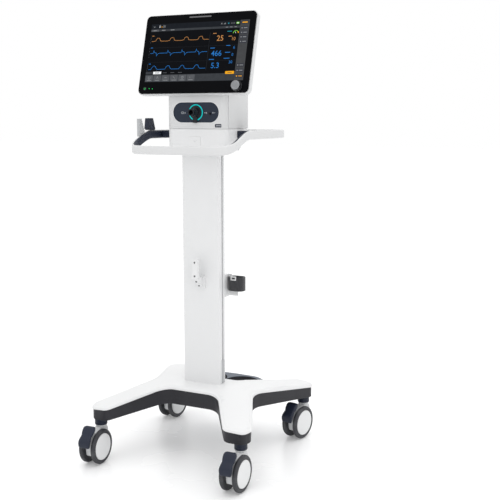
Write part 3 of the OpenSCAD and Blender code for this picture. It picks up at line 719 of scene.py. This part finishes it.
for node, width in (("unit_rear", 1.1), ("port_panel", 0.7), ("power_inlet", 0.6), ("sensor_port", 0.25),
                    ("hinge_base", 1.2), ("hinge_yoke", 0.8)):
    rounded_copy(node, width)
# The dock body and latch use the brighter copy of the white plastic: painted light.
rounded_copy("dock_body", 1.3, material="lit_white_plastic")
rounded_copy("dock_latch", 0.6, material="lit_white_plastic")
rounded_copy("unit_front", 1.1, material="unit_white")
rounded_copy("rear_panel", 0.5, merge=False)


def ahead(depth):
    """Places (x, y, height) on the unit's front, height growing towards the user."""
    return lambda x, y, h: (x, UNIT_Y - depth - h, PORT_Z + y)


ring = rounded([(22.5, -0.6, 0.3), (25.7, -0.6, 0.3), (25.7, 1.9, 1.5), (22.5, 1.9, 1.5)], 15.0)
lathe("port_ring_shape", [(p.x, p.y) for p in ring], ahead(0), "ring_light", "stand", closed=True,
      stands_for=["port_ring"])
bm = bmesh.new()
barrel = soften([(7.5, 0.4), (21.8, 0.4, 0.4), (21.8, 3.2, 1.6), (19.0, 3.9, 1.0), (15.2, 3.6, 0.8),
                 (14.0, 6.0, 1.0), (14.0, 14.4, 1.4), (12.2, 15.2, 0.6), (11.7, 17.0, 0.6),
                 (11.55, 21.2, 0.2), (12.0, 21.6, 0.2), (12.0, 22.8, 0.2), (11.5, 23.2, 0.2),
                 (11.05, 32.2, 0.9), (7.9, 32.4, 0.5), (7.5, 31.6, 0.5), (7.5, 0.4)], 0.5)
add_lathe(bm, barrel, ahead(0), 96)
add_prism(bm, rect(16, 20, 3, 0, -23), ahead(0), 2.2, 6.2)
make("patient_port_shape", bm, "port_black", "stand", stands_for=["patient_port"], bevel=0.0, angle=35)


def add_ribbon(bm, points, width, place, depth, closed=False, index=0):
    """A flat stroke of even width along a line of (a, b) points."""
    points = [Vector(p) for p in points]
    rows = []
    for i, p in enumerate(points):
        before = points[i - 1] if i or closed else p
        after = points[(i + 1) % len(points)] if i < len(points) - 1 or closed else p
        d1, d2 = (p - before), (after - p)
        d1 = d1.normalized() if d1.length > 1e-9 else d2.normalized()
        d2 = d2.normalized() if d2.length > 1e-9 else d1
        d = (d1 + d2).normalized()
        n = Vector((-d.y, d.x))
        n *= width / 2 / max(0.4, n.dot(Vector((-d2.y, d2.x))))
        rows.append([bm.verts.new(place(p.x + k * n.x, p.y + k * n.y, depth)) for k in (1, -1)])
    pairs = list(zip(rows, rows[1:])) + ([(rows[-1], rows[0])] if closed else [])
    for a, b in pairs:
        bm.faces.new((a[0], a[1], b[1], b[0])).material_index = index


def add_flat(bm, outline, place, depth, index=0):
    bm.faces.new([bm.verts.new(place(p[0], p[1], depth)) for p in outline]).material_index = index


def disc(u, v, r, n=40):
    angles = [2 * math.pi * k / n for k in range(n)]
    return [Vector((u + r * math.cos(t), v + r * math.sin(t))) for t in angles]


def arc(u, v, r, a0, a1, n=24):
    angles = [math.radians(a0 + (a1 - a0) * k / n) for k in range(n + 1)]
    return [(u + r * math.cos(t), v + r * math.sin(t)) for t in angles]


def printed(name, colour, rough=0.35):
    return moulded(name, colour, rough, 1500, 0.00001, 0.06)


def finish_flat(name, bm, materials, body, slot):
    """A piece of printed or lit marks, one material for each index."""
    obj = make(name, bm, materials[0], body, slot=slot)
    for m in materials[1:]:
        obj.data.materials.append(m)
    return obj


# Marks on the unit's front: plain symbols, no lettering.
PALE_INK = printed("pale_ink", (0.50, 0.52, 0.55))
DARK_INK = printed("dark_ink", (0.020, 0.026, 0.045))
RIM_INK = printed("rim_ink", (0.86, 0.865, 0.87), 0.3)
on_unit = lambda a, b, c: (a, UNIT_Y - 0.8 - c, PORT_Z + b)
bm = bmesh.new()
add_ribbon(bm, arc(-49.5, -1.2, 3.2, 40, 320), 1.1, on_unit, 0.05)
add_ribbon(bm, [(-46.6, 0.9), (-42.0, 0.9)], 1.1, on_unit, 0.05)
add_ribbon(bm, [(-46.6, -3.3), (-42.0, -3.3)], 1.1, on_unit, 0.05)
add_flat(bm, disc(-38.6, -1.2, 1.5), on_unit, 0.05)
for u, turn in ((37.3, 1), (64.6, -1)):
    add_ribbon(bm, [(u - 3.8, -1.4), (u + 3.0, -1.4)], 1.0, on_unit, 0.05)
    arrow = [(u + turn * 1.0, 1.2), (u + turn * 3.8, -1.4), (u + turn * 1.0, -4.0)]
    add_ribbon(bm, arrow, 1.0, on_unit, 0.05)
    add_flat(bm, disc(u - turn * 4.6, -1.4, 1.1), on_unit, 0.05)
finish_flat("unit_marks", bm, [PALE_INK], "stand", "panel_navy")
oval = dense(rect(167.6, 65.6, 32.7), 4.0)
bm = bmesh.new()
add_ribbon(bm, oval, 1.6, lambda a, b, c: (a, UNIT_Y - c, PORT_Z + b), 0.06, closed=True)
finish_flat("oval_rim", bm, [RIM_INK], "stand", "white_plastic")
bm = bmesh.new()
on_face = lambda a, b, c: (a, UNIT_Y - c, b)
add_flat(bm, rect(23, 11, 2.2, 80.5, 1092), on_face, 0.06)
for k, w in ((0, 4.2), (1, 3.4), (2, 5.0)):
    add_ribbon(bm, [(73.8 + 5.4 * k, 1092), (73.8 + 5.4 * k + w, 1092)], 2.6, on_face, 0.10, index=1)
finish_flat("unit_badge", bm, [DARK_INK, PALE_INK], "stand", "panel_navy")
bm = bmesh.new()
add_ribbon(bm, [(LATCH_X - 3.2, 1043.4), (LATCH_X, 1040.4), (LATCH_X + 3.2, 1043.4)], 0.9,
           lambda a, b, c: (a, UNIT_Y - 1.1 - c, b), 0.05)
finish_flat("latch_mark", bm, [printed("grey_ink", (0.42, 0.43, 0.44))], "dock_latch", "white_plastic")

# Rear face: inlet blades, thread inserts in the gas inlets, blank rating plate.
bm = bmesh.new()
for x, z in ((-6, -2), (6, -2), (0, 3)):
    add_prism(bm, rect(2.0, 5.0, 0.5, INLET_X + x, INLET_Z + z, 30), front, UNIT_BACK - 6, UNIT_BACK - 0.5)
make("inlet_blades", bm, "steel", "stand", bevel=0.3, segments=2)
collar = soften([(8.95, -9.4), (8.95, -2.0), (9.3, -1.2, 0.2), (13.0, -1.2, 0.6), (13.0, -0.5, 0.3),
                 (9.6, -0.3, 0.2), (8.95, -1.1)], 0.2)
for hand, gas_x in GAS_X:
    lathe("gas_collar_" + hand, collar, lambda a, b, h: (gas_x + a, UNIT_BACK - 1.0 + h, INLET_Z + b),
          "steel", "stand", 64)
bm = bmesh.new()
add_prism(bm, rect(50, 26, 2.0, 52, 1158), front, UNIT_BACK - 2.0, UNIT_BACK - 1.5)
make("rating_plate", bm, "light_grey", "stand", bevel=0.15, segments=2)
# Each cylinder well has a ribbed floor mat and a lining up its wall, both charcoal and darker than the tray:
# partly a mat, partly painted shade in the well.
RIBS, RIB_STEP = 11, 5.0
mat = [(0, 0.8)]
for k in range(1, RIBS + 1):
    r = RIB_STEP * k
    mat += [(r - 1.2, 0.8), (r - 0.6, 0.2), (r + 0.6, 0.2), (r + 1.2, 0.8)]
mat += [(58.6, 0.8), (59.6, 0.9), (60.0, 1.6), (60.0, 30.6), (60.3, 31.0)]
for hand, well_x in (("left", -WELL_X), ("right", WELL_X)):
    lathe("well_mat_and_shade_" + hand, mat, lambda a, b, h: (well_x + a, WELL_Y + b, WELL_FLOOR + h), "charcoal",
          "stand", 96)


# ------------------------------------------------------------------ display

COS_T, SIN_T = math.cos(TILT), math.sin(TILT)


def tilted(u, depth, v):
    """A point on the display: u right, depth away from the user, v up from the middle of the glass."""
    return (u, GLASS_Y + depth * COS_T + v * SIN_T, GLASS_Z - depth * SIN_T + v * COS_T)


def glass(u, v, lift):
    """A point on the front of the glass, or just in front of it."""
    return tilted(u, -GLASS_FACE - lift, v)


rounded_copy("display_shell", 1.8, merge=False)
rounded_copy("display_glass", 0.9)
rounded_copy("alarm_lens", 0.5)
knob = soften([(0, 15.4), (9.6, 15.4, 1.0), (10.2, 15.0, 0.3), (10.9, 15.4, 0.3), (13.2, 15.2, 1.4),
               (15.0, 12.8, 1.0), (15.5, 2.0, 0.6), (15.1, 0.4, 0.3), (0, 0.4)], 0.4)
bm = bmesh.new()
add_lathe(bm, knob, lambda x, y, h: tilted(KNOB_U + x, -KNOB_FOOT - h, KNOB_V + y), 180)
# Flutes: every other step of two degrees round the knob's side is pressed in.
middle = Vector(tilted(0, 0, KNOB_V))
for vert in bm.verts:
    off = vert.co - middle
    depth = -(off.y * COS_T - off.z * SIN_T) - KNOB_FOOT
    u, v = vert.co.x - KNOB_U, off.y * SIN_T + off.z * COS_T
    r = math.hypot(u, v)
    if r > 14.6 and 2.5 < depth < 12.5:
        k = 1 - (FLUTE if round(math.degrees(math.atan2(v, u)) / 2) % 2 else 0.0) / r
        vert.co = Vector(tilted(KNOB_U + u * k, -KNOB_FOOT - depth, KNOB_V + v * k))
make("control_knob_shape", bm, "knob_metal", "control_knob", stands_for=["control_knob"], angle=50)
bm = bmesh.new()
add_ribbon(bm, disc(KNOB_U, KNOB_V, 16.6, 72), 1.0, glass, 0.05, closed=True)
finish_flat("knob_surround", bm, [printed("surround_ink", (0.06, 0.06, 0.065), 0.25)], "display", "screen")
button = soften([(0, 0.72), (4.4, 0.80, 1.0), (5.4, 0.95, 0.3), (5.8, 0.5, 0.2), (5.8, -1.4), (0, -1.4)], 0.2)
lathe("power_button_shape", button, lambda x, y, h: tilted(BUTTON_U + x, -2.4 - h, BUTTON_V + y),
      "port_black", "power_button", 64, stands_for=["power_button"], slot="light_grey")
GREEN = glowing("green_light", (0.02, 0.75, 0.12), 1.0)
bm = bmesh.new()
on_button = lambda u, v, lift: tilted(u, -3.2 - lift, v)
add_ribbon(bm, arc(BUTTON_U, BUTTON_V, 2.6, 125, 415), 0.7, on_button, 0.10)
add_ribbon(bm, [(BUTTON_U, BUTTON_V + 0.4), (BUTTON_U, BUTTON_V + 3.2)], 0.7, on_button, 0.10)
finish_flat("power_symbol", bm, [GREEN], "power_button", "light_grey")
bm = bmesh.new()
for u, v in ((-157.4, -113.3), (-145.5, -114.5)):
    add_flat(bm, disc(u, v, 1.5), glass, 0.06)
finish_flat("status_lights", bm, [GREEN], "display", "screen")

# The lit picture: bars, traces and plain numbers.
INKS = {
    "black": (0.0035, 0.0040, 0.0055), "bar": (0.010, 0.012, 0.016), "title": (0.040, 0.044, 0.050),
    "tile": (0.085, 0.090, 0.098), "button": (0.040, 0.042, 0.052), "blank": (0.055, 0.057, 0.060),
    "pale": (0.26, 0.27, 0.28), "white": (0.82, 0.84, 0.85), "orange": (0.50, 0.23, 0.075),
    "blue": (0.022, 0.17, 0.50), "green": (0.14, 0.42, 0.04), "amber": (0.85, 0.38, 0.012),
    "line": (0.030, 0.033, 0.040), "cyan": (0.02, 0.26, 0.34),
}
INK = {name: index for index, name in enumerate(INKS)}
PICTURE = [glowing("picture_" + name, colour, 1.0) for name, colour in INKS.items()]
LAYER = 0.03
PIC_LEFT, PIC_RIGHT, PIC_LOW, PIC_TOP, COLUMN_U = -178, 178, -91.6, 102, 146
WAVE_LEFT, WAVE_RIGHT, CYCLES = -170, 40, 4
bm = bmesh.new()


def lifted(layer):
    """How far a layer of the picture stands in front of the glass."""
    return layer * LAYER + LAYER


def tile(u0, u1, v0, v1, ink, layer, r=0.0):
    if r:
        outline = rect(u1 - u0, v1 - v0, r, (u0 + u1) / 2, (v0 + v1) / 2, 20)
    else:
        outline = [(u0, v0), (u1, v0), (u1, v1), (u0, v1)]
    add_flat(bm, outline, glass, lifted(layer), INK[ink])


def stroke(points, width, ink, layer=4, closed=False):
    add_ribbon(bm, points, width, glass, lifted(layer), closed, INK[ink])


def number(text, size, u, v, ink, layer=4, weight=0.0):
    """Plain digits, centred on (u, v)."""
    curve = bpy.data.curves.new("digits", "FONT")
    curve.body, curve.size, curve.align_x, curve.align_y = text, size, "CENTER", "CENTER"
    curve.offset = weight
    curve.resolution_u = 4
    holder = bpy.data.objects.new("digits", curve)
    bpy.context.scene.collection.objects.link(holder)
    bpy.context.view_layer.update()
    mesh = bpy.data.meshes.new_from_object(holder.evaluated_get(bpy.context.evaluated_depsgraph_get()))
    verts = [bm.verts.new(glass(u + p.co.x, v + p.co.y, lifted(layer))) for p in mesh.vertices]
    for face in mesh.polygons:
        if len(set(face.vertices)) > 2:
            bm.faces.new([verts[i] for i in face.vertices]).material_index = INK[ink]
    bpy.data.objects.remove(holder)
    bpy.data.curves.remove(curve)
    bpy.data.meshes.remove(mesh)


tile(PIC_LEFT, PIC_RIGHT, PIC_LOW, PIC_TOP, "black", 0)
tile(PIC_LEFT, COLUMN_U, 84, PIC_TOP, "bar", 1)
tile(PIC_LEFT, COLUMN_U, 77, 84, "title", 1)
tile(-176, -148, 77, 84, "tile", 2)
tile(PIC_LEFT, COLUMN_U, PIC_LOW, -68, "title", 1)
tile(COLUMN_U, PIC_RIGHT, PIC_LOW, PIC_TOP, "blank", 1)
tile(COLUMN_U, COLUMN_U + 0.6, PIC_LOW, PIC_TOP, "line", 2)
# Status bar symbols.
stroke([(-170, 94.5), (-166.5, 91), (-163, 94.5)], 1.0, "pale")
stroke(arc(-146, 94, 2.0, -10, 190), 1.2, "white")
stroke([(-148.4, 91.2), (-143.6, 91.2)], 1.4, "white")
tile(-139.5, -136.8, 90.6, 93.2, "amber", 4)
stroke([(-133, 89.8), (-126, 89.8), (-126, 96.2), (-133, 96.2)], 0.8, "pale", closed=True)
stroke([(-131.4, 93), (-127.6, 93)], 1.6, "pale")
stroke([(78, 90.8), (82.5, 95.4)], 1.1, "pale")
stroke([(78, 95.4), (82.5, 90.8)], 1.1, "pale")
for k in range(3):
    tile(88 + 2.6 * k, 89.7 + 2.6 * k, 90.6, 93 + 1.3 * k, "pale", 4)
add_flat(bm, disc(105, 93, 2.2), glass, lifted(4), INK["cyan"])
tile(113, 119, 91, 95, "tile", 3, 1.0)
tile(121, 127, 91, 95, "tile", 3, 1.0)
tile(132, 142.5, 89.6, 96.4, "green", 3, 1.6)
tile(134, 140.5, 91.6, 94.4, "white", 4, 0.8)
# Title bar.
for u0, u1 in ((-169, -157), (-137, -124), (-104, -90)):
    tile(u0, u1, 79.6, 81.6, "pale", 3)
for u0, u1 in ((96, 104), (111, 120), (127, 135)):
    tile(u0, u1, 79.8, 81.4, "pale", 3)


def trace(base, shape, ink, width=1.25):
    """A repeating trace across the waveform area: shape is one cycle of (share, height)."""
    cycle = (WAVE_RIGHT - WAVE_LEFT) / CYCLES
    pts = [(WAVE_LEFT + cycle * (k + at), base + h) for k in range(CYCLES) for at, h in shape]
    stroke(pts + [(WAVE_RIGHT, base)], width, ink)


trace(44, [(0, 0), (0.16, 0.2), (0.28, 2.0), (0.34, 9.0), (0.40, 10.4), (0.50, 10.8), (0.56, 8.6),
           (0.62, 1.4), (0.74, 0.3)], "orange")
trace(4, [(0, 0), (0.20, 0), (0.24, 9.5), (0.28, 3.6), (0.34, 2.0), (0.42, 1.0), (0.46, -9.0),
          (0.52, -3.4), (0.60, -0.8), (0.7, 0)], "blue")
trace(-50, [(0, 0), (0.16, 0), (0.24, 5.5), (0.32, 11.0), (0.40, 12.0), (0.47, 10.5), (0.55, 3.4),
            (0.64, 0)], "blue")
for base, top, low, ink in ((44, 60, 40, "orange"), (4, 20, -10, "blue"), (-50, -34, -54, "blue")):
    stroke([(-173.5, low), (-173.5, top)], 0.5, "line")
    for k in range(4):
        v = low + (top - low) * k / 3
        stroke([(-175.4, v), (-173.5, v)], 0.5, "pale")
    tile(-171, -163, top + 1.5, top + 3.4, ink, 3)
    stroke([(WAVE_LEFT, base), (WAVE_RIGHT, base)], 0.25, "line", 2)
for v in (22, -26):
    stroke([(-174, v), (42, v)], 0.35, "line", 2)
    stroke([(46, v), (144, v)], 0.35, "line", 2)
tile(43.0, 43.7, -57, 66, "line", 2)
# Readings.
number("25", 25, 81, 45, "orange", weight=0.05)
tile(54, 66, 61, 63.2, "orange", 3)
number("10", 15, 128, 42, "orange", weight=0.0)
tile(110, 122, 50, 52, "orange", 3)
number("466", 25, 74, -4, "blue", weight=0.05)
tile(50, 66, 13.4, 15.6, "blue", 3)
number("5.3", 25, 74, -43, "blue", weight=0.05)
tile(50, 68, -23.4, -21.2, "blue", 3)
for text, u, v in (("6", 134, 14), ("0", 131, -9.5), ("30", 127, -33)):
    number(text, 13, u, v, "blue", weight=0.0)
for u0, u1, v in ((106, 120, 20), (104, 122, -2), (102, 122, -21)):
    tile(u0, u1, v, v + 2.0, "blue", 3)
stroke(arc(134, 60, 8.6, 180, 95), 2.8, "green")
stroke(arc(134, 60, 8.6, 88, 45), 2.8, "green")
stroke(arc(134, 60, 8.6, 38, 2), 2.8, "amber")
stroke([(134, 60), (131.4, 65.0)], 1.0, "white")
tile(104, 120, 66, 68, "cyan", 3)
# Right column.
tile(148.5, 176, 88, 100, "button", 2, 2.0)
tile(153, 171, 92.4, 95.6, "amber", 3)
for v, ink in [(v, "pale") for v in (76, 61.5, 47, 32.5, -43, -60)] + [(-78, "amber")]:
    tile(148.5, 176, v - 5.8, v + 5.8, "button", 2, 2.2)
    tile(152, 156, v - 1.7, v + 1.7, ink, 3, 0.8)
    tile(160, 172, v - 1.1, v + 1.1, ink, 3)
# Tab row, alarm button and lower tiles.
tile(-178, -154, -66, -57.5, "title", 2)
tile(-150, -120, -66, -57.5, "white", 3)
tile(-143, -127, -62.8, -60.8, "title", 4)
for u in (-106, -78, -50):
    tile(u - 7, u + 7, -62.8, -61.0, "tile", 3)
tile(113, 144, -70.5, -61.5, "amber", 3, 1.6)
tile(121, 136, -67.0, -65.2, "title", 4)
for k in range(6):
    u = -163 + 31 * k
    tile(u - 14, u + 14, -90, -69.8, "tile", 2, 1.4)
    tile(u - 8, u + 8, -87.4, -85.9, "pale", 3)
    shapes = [arc(u, -78, 4.0, 90, 400), [(u - 4, -81), (u, -74), (u + 4, -81)], [(u - 4, -78), (u + 4, -78)],
              [(u - 4, -74.5), (u + 4, -81.5)], arc(u, -78, 3.6, 0, 360), [(u - 6, -78), (u - 2, -78)]]
    stroke(shapes[k], 1.3, "pale")
finish_flat("screen_picture", bm, PICTURE, "display", "screen")


# ------------------------------------------------------------------ stage, light and camera

mesh = bpy.data.meshes.new("floor")
FAR = 30.0
mesh.from_pydata([(-FAR, -FAR, 0), (FAR, -FAR, 0), (FAR, FAR, 0), (-FAR, FAR, 0)], [], [(0, 1, 2, 3)])
floor = bpy.data.objects.new("floor", mesh)
bpy.context.scene.collection.objects.link(floor)
n = Nodes("floor_paint")
n.set(Base_Color=n.mix(n.span(n.noise(0.8, 3.0), 0.0, 1.0), (0.955, 0.957, 0.96, 1), (0.965, 0.967, 0.97, 1)),
      Roughness=n.span(n.noise(3.0, 4.0), 0.22, 0.30), Specular_IOR_Level=0.35,
      Emission_Color=(1, 1, 1, 1), Emission_Strength=0.10)
mesh.materials.append(n.mat)

world = bpy.data.worlds.new("studio")
world.use_nodes = True
world.node_tree.nodes["Background"].inputs["Color"].default_value = (1.0, 1.0, 1.0, 1.0)
world.node_tree.nodes["Background"].inputs["Strength"].default_value = 1.0
bpy.context.scene.world = world


def softbox(name, place, aim, size, power):
    lamp = bpy.data.lights.new(name, "AREA")
    lamp.shape, lamp.size, lamp.size_y, lamp.energy = "RECTANGLE", size[0], size[1], power
    obj = bpy.data.objects.new(name, lamp)
    obj.location = place
    obj.rotation_euler = (Vector(aim) - Vector(place)).to_track_quat("-Z", "Y").to_euler()
    bpy.context.scene.collection.objects.link(obj)


softbox("top", (0.3, -0.4, 3.4), (0, 0, 0.6), (3.0, 3.0), 22)
softbox("key", (2.6, -2.2, 2.2), (0, 0, 0.8), (1.8, 2.2), 8)
softbox("fill", (-2.6, -1.8, 1.6), (0, 0, 0.8), (1.6, 2.2), 2)
softbox("rim", (-0.8, 2.8, 2.0), (0, 0, 0.9), (2.0, 1.6), 6)

lens = bpy.data.cameras.new("camera")
lens.lens, lens.sensor_width = 62.94, 36.0
camera = bpy.data.objects.new("camera", lens)
camera.location = (1.3869, -2.4956, 1.1185)
camera.rotation_euler = (math.radians(90 - 8.63), 0.0, math.radians(25.75))
bpy.context.scene.collection.objects.link(camera)
bpy.context.scene.camera = camera
bpy.context.scene.view_settings.view_transform = "Standard"
